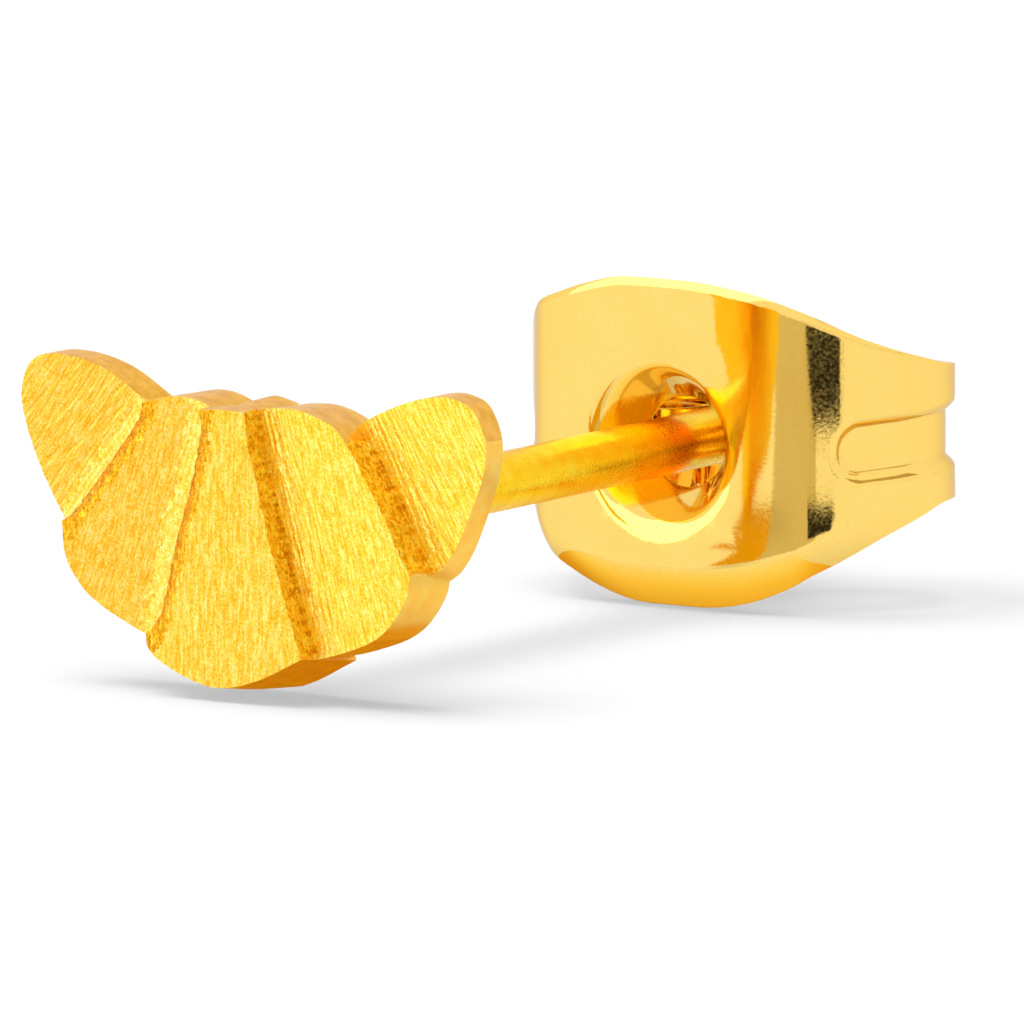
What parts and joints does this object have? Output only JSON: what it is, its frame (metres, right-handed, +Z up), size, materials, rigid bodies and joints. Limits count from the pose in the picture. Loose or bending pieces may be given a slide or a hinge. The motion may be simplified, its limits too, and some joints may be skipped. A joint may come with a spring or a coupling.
{
  "type": "croissant stud earring with its butterfly back, lying unworn",
  "caption": "Gold croissant stud earring: a flat lobed croissant soldered to a straight post, with a sliding butterfly back that holds it in a pierced ear.",
  "frame": {"origin": "on the surface that the earring lies on, under the middle of its bounding box", "axes": "+Y along the post from the croissant's face to the butterfly back, +X across the croissant, to the right as seen from its face, +Z up"},
  "size_m": [0.0076, 0.0142, 0.0045],
  "materials": {
    "matte_gold": "matte brushed",
    "polished_gold": "polished"
  },
  "bodies": {
    "stud": {"croissant_stud": "matte_gold"},
    "clutch": {"butterfly_back": "polished_gold"}
  },
  "joints": [
    {"name": "back_slide", "type": "slide", "parent": "stud", "child": "clutch", "axis": [0, 1, 0], "range_m": [-0.009, 0.0035]}
  ]
}
